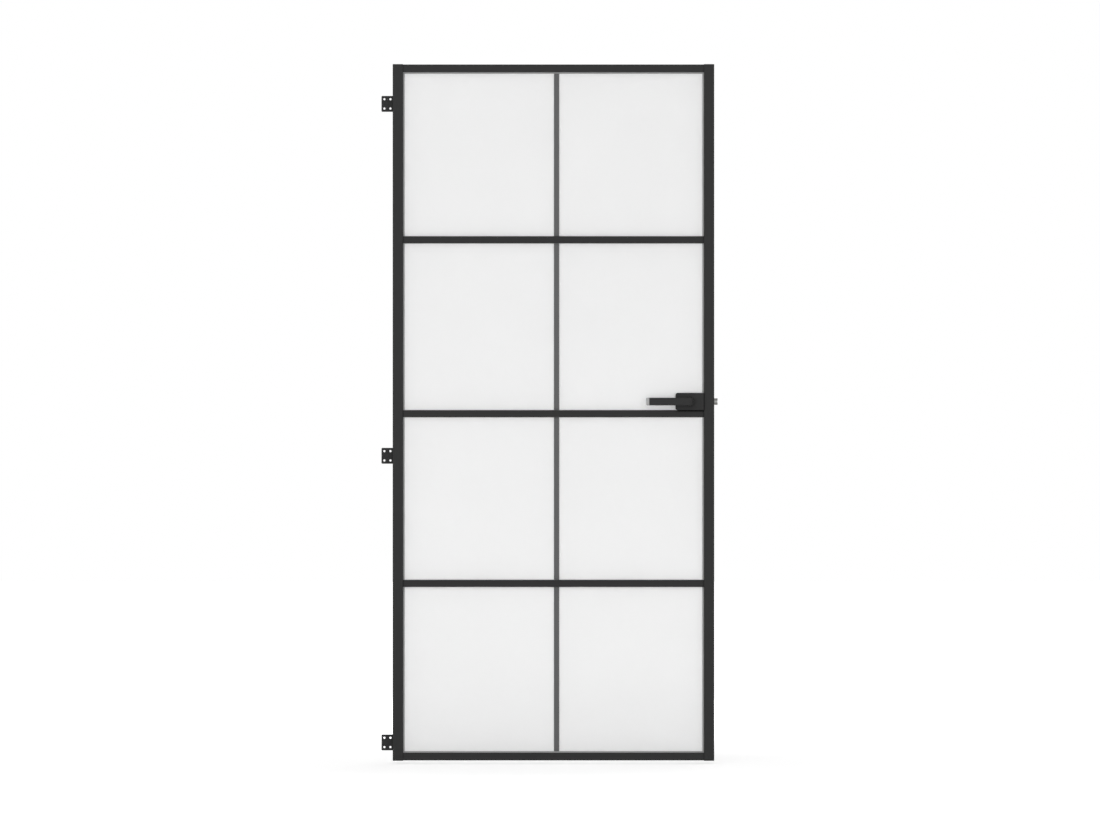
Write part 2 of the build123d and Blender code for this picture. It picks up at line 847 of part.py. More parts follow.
# Square spindle through the follower into both levers
with BuildPart() as spindle:
    with BuildSketch(lock_plane(spindle_length / 2)):
        Rectangle(spindle_side, spindle_side)
    extrude(amount=spindle_length)
spindle.part.label = "spindle"
export_step(spindle.part, "parts/spindle.step")

# Levers: a flat bar on a neck, a round journal in the bush, a square socket and an end cap
for name, side in (("front", -1), ("rear", 1)):
    outward = -side
    with BuildPart() as bush:
        rods(
            lock_plane(side * journal_end), [(0, 0)], bush_radius, outward * bush_length, bearing_sides
        )
        bores(
            lock_plane(side * journal_end),
            [(0, 0)],
            lever_journal_radius + running_clearance,
            outward * bush_length,
            bearing_sides,
        )
    bush.part.label = f"{name}_bush"
    export_step(bush.part, f"parts/{name}_bush.step")

    lever_low_z = pivot_z - lever_height / 2
    farthest = -1 if side > 0 else 0
    socket_end = spindle_length / 2 + socket_margin
    neck_half = neck_width / 2
    tip_spigot_width = lever_thickness - 2 * tip_spigot_inset
    tip_spigot_height = lever_height - 2 * tip_spigot_inset
    grub_y = side * (lever_base + grub_share * (lever_back - lever_base))
    with BuildPart() as lever:
        with BuildSketch(Plane(origin=(pivot_x, 0, lever_low_z))) as plan:
            span_rectangle((-neck_half, neck_half), (side * lever_base, side * lever_front))
            span_rectangle((grip_end, neck_half), (side * lever_back, side * lever_front))
            fillet(plan.vertices().group_by(Axis.X)[1].sort_by(Axis.Y)[farthest], neck_inner_corner)
            fillet(plan.vertices().group_by(Axis.X)[-1].sort_by(Axis.Y)[farthest], neck_outer_corner)
        extrude(amount=lever_height)
        rims = lever.faces().filter_by(Axis.Z).edges()
        free_rims = [
            rim
            for rim in rims
            if rim.center().X > pivot_x + grip_end + tip_length / 2
            and abs(rim.center().Y) > lever_base + lever_gap
        ]
        chamfer(free_rims, lever_edge)
        rods(
            lock_plane(side * journal_end),
            [(0, 0)],
            lever_journal_radius,
            outward * (lever_base - journal_end),
            bearing_sides,
        )
        with BuildSketch(lock_plane(side * journal_end)):
            Rectangle(spindle_hole, spindle_hole)
        extrude(amount=outward * (socket_end - journal_end), mode=Mode.SUBTRACT)
        bores(
            Plane.XY.offset(lever_low_z - overrun),
            [(pivot_x, grub_y)],
            grub_radius + screw_clearance,
            lever_height / 2 + overrun,
            hidden_sides,
        )
        span_box(
            (pivot_x + grip_end - overrun, pivot_x + grip_end + tip_spigot_length + cap_fit),
            (
                side * (lever_back + tip_spigot_inset - cap_fit),
                side * (lever_front - tip_spigot_inset + cap_fit),
            ),
            (
                pivot_z - tip_spigot_height / 2 - cap_fit,
                pivot_z + tip_spigot_height / 2 + cap_fit,
            ),
            Mode.SUBTRACT,
        )
    lever.part.label = f"{name}_lever"
    export_step(lever.part, f"parts/{name}_lever.step")

    grip_centre = (pivot_x + grip_end, side * (lever_back + lever_front) / 2, pivot_z)
    grip_plane = Plane(origin=grip_centre, x_dir=(0, 1, 0), z_dir=(-1, 0, 0))
    with BuildPart() as lever_tip:
        with BuildSketch(grip_plane) as end:
            Rectangle(lever_thickness, lever_height)
            chamfer(end.vertices(), lever_edge)
        extrude(amount=tip_length)
        chamfer(lever_tip.faces().sort_by(Axis.X)[0].edges(), tip_edge)
        with BuildSketch(grip_plane):
            Rectangle(tip_spigot_width, tip_spigot_height)
        extrude(amount=-tip_spigot_length)
    lever_tip.part.label = f"{name}_lever_tip"
    export_step(lever_tip.part, f"parts/{name}_lever_tip.step")

# Grub screws that clamp the levers to the spindle
with BuildPart() as grub_screws:
    for side in (-1, 1):
        grub_y = side * (lever_base + grub_share * (lever_back - lever_base))
        rods(
            Plane.XY.offset(pivot_z - spindle_side / 2 - grub_length),
            [(pivot_x, grub_y)],
            grub_radius,
            grub_length,
            hidden_sides,
        )
grub_screws.part.label = "grub_screws"
export_step(grub_screws.part, "parts/grub_screws.step")

# Latch bolt: forked head, rear plate and a tail of two strips round the follower's arm
insert_rear = latch_tip - insert_length
with BuildPart() as latch_bolt:
    with BuildSketch(Plane(origin=(pivot_x, 0, pivot_z - latch_height / 2))):
        with BuildLine():
            Polyline(*latch_plan(latch_plate_right), close=True)
        make_face()
    extrude(amount=latch_height)
    span_box(
        (pivot_x + latch_plate_left, pivot_x + latch_plate_right),
        (-latch_width / 2, latch_width / 2),
        (pivot_z - latch_height / 2, pivot_z + latch_strip_high),
    )
    for side in (-1, 1):
        span_box(
            (pivot_x + latch_bar_left, pivot_x + latch_plate_left),
            (side * (latch_width / 2 - latch_strip_width), side * latch_width / 2),
            (pivot_z + latch_strip_low, pivot_z + latch_strip_high),
        )
    span_box(
        (pivot_x + latch_bar_left, pivot_x + latch_bar_right),
        (-latch_width / 2, latch_width / 2),
        (pivot_z + latch_strip_low, pivot_z + latch_strip_high),
    )
    span_box(
        (pivot_x + insert_rear, pivot_x + latch_tip + overrun),
        (-latch_width, latch_width),
        (pivot_z - insert_height / 2, pivot_z + insert_height / 2),
        Mode.SUBTRACT,
    )
latch_bolt.part.label = "latch_bolt"
export_step(latch_bolt.part, "parts/latch_bolt.step")

# Nylon insert in the fork of the latch, slightly shorter than the metal
with BuildPart() as latch_insert:
    with BuildSketch(Plane(origin=(pivot_x, 0, pivot_z - insert_height / 2))):
        with BuildLine():
            Polyline(*latch_plan(insert_rear), close=True)
        make_face()
    extrude(amount=insert_height)
    span_box(
        (pivot_x + latch_tip - insert_set_back, pivot_x + latch_tip + overrun),
        (-latch_width, latch_width),
        (pivot_z - insert_height, pivot_z + insert_height),
        Mode.SUBTRACT,
    )
latch_insert.part.label = "latch_insert"
export_step(latch_insert.part, "parts/latch_insert.step")

# Latch spring: a coil between the stop in the case and the latch's rear plate
spring_run = latch_plate_left - spring_stop_right - spring_wire
spring_steps = round(spring_turns * spring_sides)
with BuildPart() as latch_spring:
    with BuildLine(Plane(origin=(pivot_x + spring_stop_right + spring_wire / 2, 0, pivot_z))) as coil:
        Polyline(
            *[
                (
                    spring_run * step / spring_steps,
                    spring_radius * math.cos(math.tau * step / spring_sides),
                    spring_radius * math.sin(math.tau * step / spring_sides),
                )
                for step in range(spring_steps + 1)
            ]
        )
    with BuildSketch(Plane(origin=coil.line @ 0, z_dir=coil.line % 0)):
        Rectangle(spring_wire, spring_wire)
    sweep(transition=Transition.RIGHT)
latch_spring.part.label = "latch_spring"
export_step(latch_spring.part, "parts/latch_spring.step")
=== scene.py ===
"""Looks for a slim framed glass door: studio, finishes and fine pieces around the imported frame."""

import logging
import math
from dataclasses import dataclass, field
from enum import Enum

import bmesh
import bpy
import numpy as np
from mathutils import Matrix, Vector


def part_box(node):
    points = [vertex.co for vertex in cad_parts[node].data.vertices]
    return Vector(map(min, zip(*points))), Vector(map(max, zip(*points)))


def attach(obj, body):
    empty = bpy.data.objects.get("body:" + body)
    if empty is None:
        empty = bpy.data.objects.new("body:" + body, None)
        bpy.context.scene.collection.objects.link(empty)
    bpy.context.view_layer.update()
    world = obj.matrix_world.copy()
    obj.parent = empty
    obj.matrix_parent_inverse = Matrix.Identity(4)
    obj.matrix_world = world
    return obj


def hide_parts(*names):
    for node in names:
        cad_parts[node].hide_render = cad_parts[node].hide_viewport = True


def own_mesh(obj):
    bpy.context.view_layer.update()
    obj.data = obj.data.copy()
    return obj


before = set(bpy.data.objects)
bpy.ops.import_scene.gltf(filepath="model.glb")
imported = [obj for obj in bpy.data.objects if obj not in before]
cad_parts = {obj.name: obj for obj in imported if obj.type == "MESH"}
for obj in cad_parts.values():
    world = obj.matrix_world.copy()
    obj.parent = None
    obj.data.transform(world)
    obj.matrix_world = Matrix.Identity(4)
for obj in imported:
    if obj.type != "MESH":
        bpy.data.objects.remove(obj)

LOG = logging.getLogger("glass_door")

# Edges of new pieces that turn by more than this stay sharp.
SHARP_TURN = math.radians(35)

Colour = tuple[float, float, float]
Point = tuple[float, float, float]


class Body(Enum):
    """Bodies of the part that new pieces ride on."""

    LEAF = "leaf"
    LEVER = "lever"


class Slot(Enum):
    """Material slots of the part's record that new pieces use."""

    BRIGHT_STEEL = "bright_steel"
    SCREW_BLACK = "screw_black"


class Facing(Enum):
    """Which way screw heads look: number of the axis and sign along it."""

    BACK = (1, 1.0)
    DOWN = (2, -1.0)


class Effect(Enum):
    """Shader effects that several finishes share."""

    GRAIN = "fine_grain"
    BRUSH = "brushed_lines"
    # Edge wear together with a painted highlight along edges.
    EDGE_WEAR_HIGHLIGHT = "edge_rub"
    # Painted shade in corners and crevices, from ambient occlusion.
    CORNER_SHADE = "dark_corners"


@dataclass
class Graph:
    """Places nodes in one node tree and links them.

    Args:
        tree: the material's, world's or group's node tree.
    """

    tree: bpy.types.NodeTree

    def add(
        self, kind: str, inputs: dict[str | int, object] | None = None, **settings: object
    ) -> bpy.types.Node:
        """Adds a node, sets its options and fills or links its inputs.

        Args:
            kind: the node's Blender type.
            inputs: socket name or number to a value or to another node's output.
            settings: options of the node itself.

        Returns:
            The new node.
        """
        node = self.tree.nodes.new(kind)
        for key, value in settings.items():
            setattr(node, key, value)
        for key, value in (inputs or {}).items():
            self.feed(node.inputs[key], value)
        return node

    def feed(self, socket: bpy.types.NodeSocket, value: object) -> None:
        """Sets a socket to a value, or links an output to it.

        Args:
            socket: the input to fill.
            value: a plain value, or another node's output.
        """
        if isinstance(value, bpy.types.NodeSocket):
            self.tree.links.new(value, socket)
        else:
            socket.default_value = value

    def math(self, operation: str, *values: object) -> bpy.types.NodeSocket:
        """Adds a Math node and returns its output."""
        return self.add("ShaderNodeMath", dict(enumerate(values)), operation=operation).outputs[0]

    def mix(self, share: object, first: object, second: object) -> bpy.types.NodeSocket:
        """Adds a colour mix.

        Args:
            share: how much of the second colour shows.
            first: colour at a share of 0.
            second: colour at a share of 1.

        Returns:
            The mixed colour.
        """
        node = self.add("ShaderNodeMix", data_type="RGBA")
        for number, value in ((0, share), (6, first), (7, second)):
            self.feed(node.inputs[number], value)
        return node.outputs[2]

    def noise(
        self, vector: object, scale: object, detail: float, roughness: float = 0.5
    ) -> bpy.types.NodeSocket:
        """Adds a noise texture.

        Args:
            vector: where the noise is read.
            scale: patches to the metre.
            detail: steps of finer noise in it.
            roughness: weight of each finer step.

        Returns:
            The noise, between 0 and 1.
        """
        inputs = {"Vector": vector, "Scale": scale, "Detail": detail, "Roughness": roughness}
        return self.add("ShaderNodeTexNoise", inputs).outputs["Fac"]

    def bump(self, height: object, depth: float) -> bpy.types.NodeSocket:
        """Turns a height between 0 and 1 into a normal, for a relief of a depth in metres."""
        inputs = {"Strength": 1.0, "Distance": depth, "Height": height}
        return self.add("ShaderNodeBump", inputs).outputs[0]


@dataclass
class EffectLibrary:
    """Builds each shared effect once, as a shader node group.

    Args:
        fine_detail: steps of finer noise in grain and brushed lines.
        broad_detail: steps of finer noise in broad patches.
        grit_roughness: weight of the finer steps in the sandy grain.
        drift_roughness: weight of the finer steps in the drift of tone.
        noise_middle: the value that a noise swings about.
        bend_gain: how fast the edge wear and painted highlight come up as the surface bends.
        bend_samples: samples of the rounded normal.
        open_limit: openness of the surface above which no painted corner shade falls.
        open_samples: samples of the openness.
    """

    fine_detail: float = 3.0
    broad_detail: float = 4.0
    grit_roughness: float = 0.6
    drift_roughness: float = 0.55
    noise_middle: float = 0.5
    bend_gain: float = 4.0
    bend_samples: int = 4
    open_limit: float = 0.9
    open_samples: int = 8
    _built: dict[Effect, bpy.types.NodeTree] = field(default_factory=dict, init=False)

    def group(self, effect: Effect) -> bpy.types.NodeTree:
        """Gives the node group of an effect.

        Args:
            effect: which effect.

        Returns:
            The group, built at the first call.
        """
        if effect not in self._built:
            makers = {
                Effect.GRAIN: self._grain,
                Effect.BRUSH: self._brush,
                Effect.EDGE_WEAR_HIGHLIGHT: self._edge_wear_and_highlight,
                Effect.CORNER_SHADE: self._corner_shade,
            }
            tree = bpy.data.node_groups.new(effect.value, "ShaderNodeTree")
            makers[effect](tree)
            self._built[effect] = tree
        return self._built[effect]

    @staticmethod
    def _open(
        tree: bpy.types.NodeTree, inputs: dict[str, str], outputs: dict[str, str]
    ) -> tuple[Graph, bpy.types.NodeOutputs]:
        """Names a group's inputs and outputs and starts its graph.

        Args:
            tree: the empty group.
            inputs: name of each input to its kind.
            outputs: name of each output to its kind.

        Returns:
            The group's graph, and what its inputs give inside it.
        """
        for names, way in ((inputs, "INPUT"), (outputs, "OUTPUT")):
            for name, kind in names.items():
                tree.interface.new_socket(name, in_out=way, socket_type=f"NodeSocket{kind}")
        graph = Graph(tree)
        return graph, graph.add("NodeGroupInput").outputs

    def _grain(self, tree: bpy.types.NodeTree) -> None:
        """Coated surface: a fine sandy height that also speckles, and a broad noise that drifts the tone.

        Args:
            tree: the empty group.
        """
        graph, source = self._open(
            tree,
            {
                "Vector": "Vector",
                "Colour": "Color",
                "Drift": "Float",
                "Speckle": "Float",
                "Roughness": "Float",
                "Roughness Drift": "Float",
                "Fine Scale": "Float",
                "Broad Scale": "Float",
            },
            {"Colour": "Color", "Roughness": "Float", "Height": "Float"},
        )
        place = source["Vector"]
        fine = graph.noise(place, source["Fine Scale"], self.fine_detail, self.grit_roughness)
        broad = graph.noise(place, source["Broad Scale"], self.broad_detail, self.drift_roughness)
        swing = graph.math("SUBTRACT", broad, self.noise_middle)
        grit = graph.math("SUBTRACT", fine, self.noise_middle)
        speckled = graph.math("ADD", graph.math("MULTIPLY", grit, source["Speckle"]), 1.0)
        tone = graph.math("ADD", graph.math("MULTIPLY", swing, source["Drift"]), speckled)
        tint = graph.add(
            "ShaderNodeVectorMath", {0: source["Colour"], "Scale": tone}, operation="SCALE"
        )
        rough = graph.math(
            "ADD", source["Roughness"], graph.math("MULTIPLY", swing, source["Roughness Drift"])
        )
        graph.add("NodeGroupOutput", {"Colour": tint.outputs[0], "Roughness": rough, "Height": fine})

    def _brush(self, tree: bpy.types.NodeTree) -> None:
        """Brushed metal: a noise drawn out along one axis, as streaks and as a height.

        Args:
            tree: the empty group.
        """
        graph, source = self._open(
            tree,
            {"Vector": "Vector", "Density": "Vector"},
            {"Streak": "Float", "Height": "Float"},
        )
        drawn = graph.add(
            "ShaderNodeVectorMath", {0: source["Vector"], 1: source["Density"]}, operation="MULTIPLY"
        )
        lines = graph.noise(drawn.outputs[0], 1.0, self.fine_detail)
        graph.add("NodeGroupOutput", {"Streak": lines, "Height": lines})

    def _edge_wear_and_highlight(self, tree: bpy.types.NodeTree) -> None:
        """Edge wear and painted edge highlight: a mask where the rounded normal leaves the true one,
        broken up by noise.

        Args:
            tree: the empty group.
        """
        graph, source = self._open(
            tree, {"Vector": "Vector", "Reach": "Float", "Break Up": "Float"}, {"Mask": "Float"}
        )
        rounded = graph.add("ShaderNodeBevel", {"Radius": source["Reach"]}, samples=self.bend_samples)
        truth = graph.add("ShaderNodeNewGeometry")
        match = graph.add(
            "ShaderNodeVectorMath",
            {0: rounded.outputs[0], 1: truth.outputs["True Normal"]},
            operation="DOT_PRODUCT",
        )
        bend = graph.math("SUBTRACT", 1.0, match.outputs["Value"])
        patches = graph.noise(source["Vector"], source["Break Up"], self.broad_detail)
        mask = graph.math("MULTIPLY", graph.math("MULTIPLY", bend, self.bend_gain), patches)
        clipped = graph.add("ShaderNodeClamp", {"Value": mask})
        graph.add("NodeGroupOutput", {"Mask": clipped.outputs[0]})

    def _corner_shade(self, tree: bpy.types.NodeTree) -> None:
        """Painted corner shade: a mask from ambient occlusion that is 1 deep in a corner and 0 where the
        surface lies open.

        Args:
            tree: the empty group.
        """
        graph, source = self._open(tree, {"Reach": "Float", "Full At": "Float"}, {"Mask": "Float"})
        openness = graph.add(
            "ShaderNodeAmbientOcclusion", {"Distance": source["Reach"]}, samples=self.open_samples
        )
        fall = graph.add(
            "ShaderNodeMapRange",
            {
                "Value": openness.outputs["AO"],
                "From Min": source["Full At"],
                "From Max": self.open_limit,
                "To Min": 1.0,
                "To Max": 0.0,
            },
        )
        graph.add("NodeGroupOutput", {"Mask": fall.outputs[0]})


EFFECTS = EffectLibrary()


def new_material(name: str) -> tuple[bpy.types.Material, Graph]:
    """Makes an empty node material.

    Args:
        name: the material's name.

    Returns:
        The material and its graph.
    """
    material = bpy.data.materials.new(name)
    material.use_nodes = True
    material.node_tree.nodes.clear()
    return material, Graph(material.node_tree)


def close_material(graph: Graph, shader: bpy.types.Node) -> None:
    """Links a shader to the material's output."""
    graph.add("ShaderNodeOutputMaterial", {"Surface": shader.outputs[0]})


def apply_effect(
    graph: Graph, effect: Effect, inputs: dict[str | int, object]
) -> bpy.types.NodeOutputs:
    """Places an effect's group, with its own values, in a material and returns its outputs."""
    return graph.add("ShaderNodeGroup", inputs, node_tree=EFFECTS.group(effect)).outputs


def opaque(colour: Colour, shade: float = 1.0) -> tuple[float, float, float, float]:
    """Gives a colour, darkened to a share of its tone, with full alpha."""
    return (*(shade * channel for channel in colour), 1.0)


@dataclass(frozen=True)
class CoatFinish:
    """Powder coat, paint, moulded plastic or rubber.

    Args:
        name: the material's name.
        colour: base colour, linear.
        roughness: middle roughness.
        specular: specular level.
        grain_size: width of the sandy grain, in metres.
        grain_depth: height of the grain, in metres.
        drift: share by which the colour drifts over the piece.
        speckle: share by which the colour changes from grain to grain.
        gloss_drift: by how much the roughness drifts over the piece.
        patches: broad patches of tone to the metre.
        wear_and_highlight_colour: colour of worn edges with a painted highlight, lighter than the coat,
            linear.
        wear_and_highlight_reach: how far from an edge the wear and painted highlight go, in metres, or 0
            for none.
        wear_and_highlight_patches: worn, highlighted spots to the metre.
        painted_shade_colour: colour of the shade painted into corners, linear.
        painted_shade_reach: how far from a corner the painted shade goes, in metres, or 0 for none.
        painted_shade_full: openness of the surface below which the painted shade hides the colour.
    """

    name: str
    colour: Colour
    roughness: float
    specular: float = 0.3
    grain_size: float = 0.0006
    grain_depth: float = 0.00005
    drift: float = 0.16
    speckle: float = 0.7
    gloss_drift: float = 0.16
    patches: float = 9.0
    wear_and_highlight_colour: Colour = (0.06, 0.06, 0.06)
    wear_and_highlight_reach: float = 0.0
    wear_and_highlight_patches: float = 420.0
    painted_shade_colour: Colour = (0.002, 0.002, 0.002)
    painted_shade_reach: float = 0.0
    painted_shade_full: float = 0.5

    def material(self) -> bpy.types.Material:
        """Builds the coat's material.

        Returns:
            The material.
        """
        material, graph = new_material(self.name)
        place = graph.add("ShaderNodeTexCoord").outputs["Object"]
        grain = apply_effect(
            graph,
            Effect.GRAIN,
            {
                "Vector": place,
                "Colour": opaque(self.colour),
                "Drift": self.drift,
                "Speckle": self.speckle,
                "Roughness": self.roughness,
                "Roughness Drift": self.gloss_drift,
                "Fine Scale": 1.0 / self.grain_size,
                "Broad Scale": self.patches,
            },
        )
        colour = grain["Colour"]
        rough = grain["Roughness"]
        # Edge wear and painted highlight: edges turn lighter.
        if self.wear_and_highlight_reach > 0:
            wear_and_highlight = apply_effect(
                graph,
                Effect.EDGE_WEAR_HIGHLIGHT,
                {"Vector": place, "Reach": self.wear_and_highlight_reach, "Break Up": self.wear_and_highlight_patches},
            )
            colour = graph.mix(wear_and_highlight["Mask"], colour, opaque(self.wear_and_highlight_colour))
        # Painted shade: corners and crevices darken by ambient occlusion and turn rough.
        if self.painted_shade_reach > 0:
            corner_shade = apply_effect(
                graph, Effect.CORNER_SHADE, {"Reach": self.painted_shade_reach, "Full At": self.painted_shade_full}
            )
            colour = graph.mix(corner_shade["Mask"], colour, opaque(self.painted_shade_colour))
            rough = graph.math("MAXIMUM", rough, corner_shade["Mask"])
        shader = graph.add(
            "ShaderNodeBsdfPrincipled",
            {
                "Base Color": colour,
                "Roughness": rough,
                "Specular IOR Level": self.specular,
                "Normal": graph.bump(grain["Height"], self.grain_depth),
            },
        )
        close_material(graph, shader)
        return material


@dataclass(frozen=True)
class MetalFinish:
    """Bare metal with fine brushed lines.

    Args:
        name: the material's name.
        colour: reflected colour, linear.
        roughness: middle roughness.
        density: lines to the metre along X, Y and Z; the brushing runs along the smallest.
        depth: height of the lines, in metres.
        streak_shade: tone of the dark streaks, as a share of the colour.
        streak_gloss: by how much the roughness changes from streak to streak.
    """

    name: str
    colour: Colour
    roughness: float
    density: Point = (40.0, 2500.0, 2500.0)
    depth: float = 0.000012
    streak_shade: float = 0.82
    streak_gloss: float = 0.14

    def material(self) -> bpy.types.Material:
        """Builds the metal's material.

        Returns:
            The material.
        """
        material, graph = new_material(self.name)
        place = graph.add("ShaderNodeTexCoord").outputs["Object"]
        brush = apply_effect(graph, Effect.BRUSH, {"Vector": place, "Density": self.density})
        streak = brush["Streak"]
        dark = opaque(self.colour, self.streak_shade)
        lowest = self.roughness - self.streak_gloss / 2
        shader = graph.add(
            "ShaderNodeBsdfPrincipled",
            {
                "Base Color": graph.mix(streak, dark, opaque(self.colour)),
                "Metallic": 1.0,
                "Roughness": graph.math("MULTIPLY_ADD", streak, self.streak_gloss, lowest),
                "Normal": graph.bump(brush["Height"], self.depth),
            },
        )
        close_material(graph, shader)
        return material


@dataclass(frozen=True)
class FrostFinish:
    """Etched, light-scattering glass.

    Args:
        name: the material's name.
        colour: tint of the glass, linear.
        roughness: middle roughness of the etched faces.
        transmission: share of the light that goes through.
        bending: index of refraction.
        etch_size: width of the etched grain, in metres.
        etch_depth: height of the etched grain, in metres.
        drift: share by which the tint drifts over the pane.
        speckle: share by which the tint changes from grain to grain.
        gloss_drift: by how much the roughness drifts over the pane.
        patches: broad patches of tone to the metre.
    """

    name: str
    colour: Colour
    roughness: float
    transmission: float
    bending: float = 1.45
    etch_size: float = 0.0012
    etch_depth: float = 0.00004
    drift: float = 0.015
    speckle: float = 0.03
    gloss_drift: float = 0.1
    patches: float = 5.0

    def material(self) -> bpy.types.Material:
        """Builds the glass material.

        Returns:
            The material.
        """
        material, graph = new_material(self.name)
        place = graph.add("ShaderNodeTexCoord").outputs["Object"]
        grain = apply_effect(
            graph,
            Effect.GRAIN,
            {
                "Vector": place,
                "Colour": opaque(self.colour),
                "Drift": self.drift,
                "Speckle": self.speckle,
                "Roughness": self.roughness,
                "Roughness Drift": self.gloss_drift,
                "Fine Scale": 1.0 / self.etch_size,
                "Broad Scale": self.patches,
            },
        )
        shader = graph.add(
            "ShaderNodeBsdfPrincipled",
            {
                "Base Color": grain["Colour"],
                "Roughness": grain["Roughness"],
                "Metallic": 0.0,
                "IOR": self.bending,
                "Transmission Weight": self.transmission,
                "Normal": graph.bump(grain["Height"], self.etch_depth),
            },
        )
        close_material(graph, shader)
        return material


def dress(material: bpy.types.Material, *names: str) -> None:
    """Gives CAD nodes a material.

    Args:
        material: the finish.
        names: the nodes.
    """
    for name in names:
        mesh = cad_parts[name].data
        mesh.materials.clear()
        mesh.materials.append(material)


@dataclass(frozen=True)
class Rounding:
    """Rounded outer edges for CAD nodes, made with live modifiers.

    Args:
        width: width of the rounding, in metres.
        steps: flat steps across it.
        edge_limit: edges that turn by more than this are rounded, in degrees.
        flat_limit: faces that meet at less than this become one, in degrees.
        join_reach: corners closer than this are one before the rounding, in metres.
        seam_reach: corners closer than this are one after it, in metres.
    """

    width: float
    steps: int = 3
    edge_limit: float = 25.0
    flat_limit: float = 0.5
    join_reach: float = 1e-6
    seam_reach: float = 2e-6

    def apply(self, *names: str) -> None:
        """Rounds the nodes' edges, and closes the seams where roundings meet.

        Args:
            names: the nodes.
        """
        for name in names:
            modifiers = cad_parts[name].modifiers
            modifiers.new("join_corners", "WELD").merge_threshold = self.join_reach
            flat = modifiers.new("clear_flats", "DECIMATE")
            flat.decimate_type = "DISSOLVE"
            flat.angle_limit = math.radians(self.flat_limit)
            edge = modifiers.new("round_edges", "BEVEL")
            edge.width = self.width
            edge.segments = self.steps
            edge.limit_method = "ANGLE"
            edge.angle_limit = math.radians(self.edge_limit)
            modifiers.new("close_seams", "WELD").merge_threshold = self.seam_reach


def closed_rings(rings: np.ndarray) -> tuple[np.ndarray, list[tuple[int, ...]]]:
    """Skins a run of rings and closes both ends at a pole.

    The surface is a grid of two parameters, the ring and the angle round it; the end rings join a
    pole at their mean.

    Args:
        rings: points as (ring, angle, 3).

    Returns:
        Points and faces.
    """
    count, sides = rings.shape[:2]
    index = np.arange(count * sides).reshape(count, sides)
    turned = np.roll(index, -1, axis=1)
    quads = np.stack([index[:-1], turned[:-1], turned[1:], index[1:]], axis=-1).reshape(-1, 4)
    poles = np.array([rings[0].mean(axis=0), rings[-1].mean(axis=0)])
    first, last = count * sides, count * sides + 1
    start = np.stack([turned[0], index[0], np.full(sides, first)], axis=-1)
    end = np.stack([index[-1], turned[-1], np.full(sides, last)], axis=-1)
    points = np.concatenate([rings.reshape(-1, 3), poles])
    faces = [tuple(face) for face in quads.tolist() + start.tolist() + end.tolist()]
    return points, faces


def mesh_piece(
    name: str,
    points: np.ndarray,
    faces: list[tuple[int, ...]],
    material: bpy.types.Material,
    body: Body,
) -> bpy.types.Object:
    """Puts points and faces into a mesh that rides on a body.

    Args:
        name: the piece's name.
        points: points as (count, 3), in the part's frame.
        faces: corner numbers of each face.
        material: the finish.
        body: what it rides on.

    Returns:
        The piece.
    """
    mesh = bpy.data.meshes.new(name)
    mesh.from_pydata(points.tolist(), [], faces)
    shaped = bmesh.new()
    shaped.from_mesh(mesh)
    bmesh.ops.recalc_face_normals(shaped, faces=shaped.faces)
    shaped.to_mesh(mesh)
    shaped.free()
    mesh.polygons.foreach_set("use_smooth", np.ones(len(mesh.polygons), dtype=bool))
    mesh.set_sharp_from_angle(angle=SHARP_TURN)
    mesh.materials.append(material)
    piece = bpy.data.objects.new(name, mesh)
    bpy.context.scene.collection.objects.link(piece)
    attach(piece, body.value)
    return piece


@dataclass
class ScrewSet:
    """Screws of one kind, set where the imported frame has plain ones.

    Places, head radius and length are read from the plain screws.

    Args:
        name: the piece's name.
        replaced: the CAD node that they stand for.
        facing: which way the heads look.
        spread: points of the heads' tops that are closer than this belong to one screw, in metres.
        top_depth: points less than this under the highest one belong to the heads' tops, in metres.
        sides: steps round the screw.
    """

    name: str
    replaced: str
    facing: Facing
    spread: float = 0.01
    top_depth: float = 0.0001
    sides: int = 64
    places: np.ndarray = field(init=False)
    head_radius: float = field(init=False)
    length: float = field(init=False)

    def __post_init__(self) -> None:
        """Reads places and sizes: points on the heads' tops, grouped where they lie close together."""
        axis, sign = self.facing.value
        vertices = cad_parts[self.replaced].data.vertices
        points = np.empty(3 * len(vertices))
        vertices.foreach_get("co", points)
        points = points.reshape(-1, 3)
        height = sign * points[:, axis]
        top = points[height > height.max() - self.top_depth]
        apart = np.linalg.norm(top[:, None] - top[None], axis=-1)
        group = np.argmax(apart < self.spread, axis=1)
        heads = [top[group == one] for one in np.unique(group)]
        self.places = np.array([(head.min(axis=0) + head.max(axis=0)) / 2 for head in heads])
        self.head_radius = float(np.ptp(heads[0], axis=0).max() / 2)
        self.length = float(np.ptp(height))

    def angles(self) -> np.ndarray:
        """Gives the steps round the screw, as one row."""
        return np.linspace(0.0, math.tau, self.sides, endpoint=False)[None, :]

    def profile(self) -> tuple[np.ndarray, np.ndarray]:
        """Works out one screw, from the middle of its top down to its end.

        Returns:
            Radius and depth under the head's top, each as (ring, angle) or (ring, 1).
        """
        raise NotImplementedError

    def rings(self) -> np.ndarray:
        """Turns the profile round the screw's axis: two axes hold the circle, the third the depth.

        Returns:
            Points as (ring, angle, 3), with the head's top at zero.
        """
        axis, sign = self.facing.value
        first, second = (other for other in range(3) if other != axis)
        radius, depth = self.profile()
        points = np.empty((len(radius), self.sides, 3))
        points[..., first] = radius * np.cos(self.angles())
        points[..., second] = radius * np.sin(self.angles())
        points[..., axis] = -sign * depth
        return points

    def build(self, material: bpy.types.Material, body: Body) -> bpy.types.Object:
        """Sets one screw at every place.

        Args:
            material: the screws' finish.
            body: what they ride on.

        Returns:
            The piece.
        """
        points, faces = closed_rings(self.rings())
        steps = range(0, len(points) * len(self.places), len(points))
        all_points = (points[None] + self.places[:, None, :]).reshape(-1, 3)
        all_faces = [tuple(corner + step for corner in face) for step in steps for face in faces]
        piece = mesh_piece(self.name, all_points, all_faces, material, body)
        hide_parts(self.replaced)
        return piece


